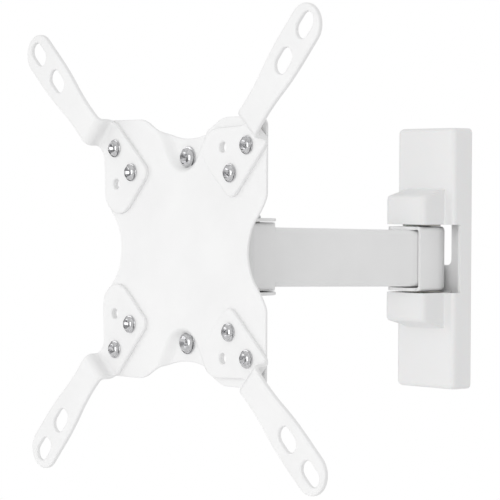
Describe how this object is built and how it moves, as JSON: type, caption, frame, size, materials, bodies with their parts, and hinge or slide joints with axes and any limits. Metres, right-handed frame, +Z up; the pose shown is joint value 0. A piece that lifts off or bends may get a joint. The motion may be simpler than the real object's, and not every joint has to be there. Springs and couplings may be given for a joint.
{
  "type": "full motion tv wall mount",
  "caption": "White full motion wall mount for a small flat screen: covered wall plate, swinging arm, swivel and tilt head, waisted screen plate with bolt-on extension arms.",
  "frame": {"origin": "on the back face of the wall plate, on its centre line, midway between its two wall screw slots", "axes": "+X to the right seen from the front, +Y into the wall, +Z up; the mount reaches out along -Y"},
  "size_m": [0.2266, 0.19, 0.2266],
  "materials": {
    "painted_steel": "white powder coat, slightly satin",
    "moulded_cover": "white moulded plastic, satin",
    "nylon": "natural nylon",
    "bright_screws": "bright nickel plated",
    "plated_hardware": "zinc plated"
  },
  "bodies": {
    "wall": {"wall_plate": "painted_steel", "wall_cover": "moulded_cover", "wall_hinge_washer_upper": "nylon", "wall_hinge_washer_lower": "nylon", "wall_hinge_bolt": "plated_hardware", "wall_hinge_head_washer": "plated_hardware", "wall_hinge_nut_washer": "plated_hardware", "wall_hinge_nut": "plated_hardware"},
    "arm": {"wall_knuckle": "painted_steel", "arm_tube": "painted_steel", "head_knuckle": "painted_steel", "wall_hinge_bush": "plated_hardware", "head_hinge_bush": "plated_hardware"},
    "head": {"head_hinge_washer_upper": "nylon", "head_hinge_washer_lower": "nylon", "swivel_yoke": "painted_steel", "head_hinge_bolt": "plated_hardware", "head_hinge_nut_washer": "plated_hardware", "head_hinge_nut": "plated_hardware", "tilt_bolt": "plated_hardware", "tilt_nut": "plated_hardware", "tilt_washer_right": "plated_hardware", "tilt_washer_left": "plated_hardware", "tilt_spacer_right": "nylon", "tilt_spacer_left": "nylon"},
    "screen": {"tilt_bracket": "painted_steel", "vesa_plate": "painted_steel", "extension_arm_upper_right": "painted_steel", "extension_arm_upper_left": "painted_steel", "extension_arm_lower_left": "painted_steel", "extension_arm_lower_right": "painted_steel", "corner_screw_upper_right_inner": "bright_screws", "corner_nut_upper_right_inner": "plated_hardware", "corner_screw_upper_right_outer": "bright_screws", "corner_nut_upper_right_outer": "plated_hardware", "corner_screw_upper_left_inner": "bright_screws", "corner_nut_upper_left_inner": "plated_hardware", "corner_screw_upper_left_outer": "bright_screws", "corner_nut_upper_left_outer": "plated_hardware", "corner_screw_lower_left_inner": "bright_screws", "corner_nut_lower_left_inner": "plated_hardware", "corner_screw_lower_left_outer": "bright_screws", "corner_nut_lower_left_outer": "plated_hardware", "corner_screw_lower_right_inner": "bright_screws", "corner_nut_lower_right_inner": "plated_hardware", "corner_screw_lower_right_outer": "bright_screws", "corner_nut_lower_right_outer": "plated_hardware", "centre_screw_upper": "bright_screws", "centre_nut_upper": "plated_hardware", "centre_screw_lower": "bright_screws", "centre_nut_lower": "plated_hardware"}
  },
  "joints": [
    {"name": "arm_swivel", "type": "hinge", "parent": "wall", "child": "arm", "pos_m": [0, -0.0159, 0.0087], "axis": [0, 0, 1], "range_deg": [-75, 75]},
    {"name": "head_swivel", "type": "hinge", "parent": "arm", "child": "head", "pos_m": [0, -0.1428, 0.0113], "axis": [0, 0, 1], "range_deg": [-80, 80]},
    {"name": "head_tilt", "type": "hinge", "parent": "head", "child": "screen", "pos_m": [0, -0.1639, 0.0148], "axis": [1, 0, 0], "range_deg": [-15, 15]}
  ]
}
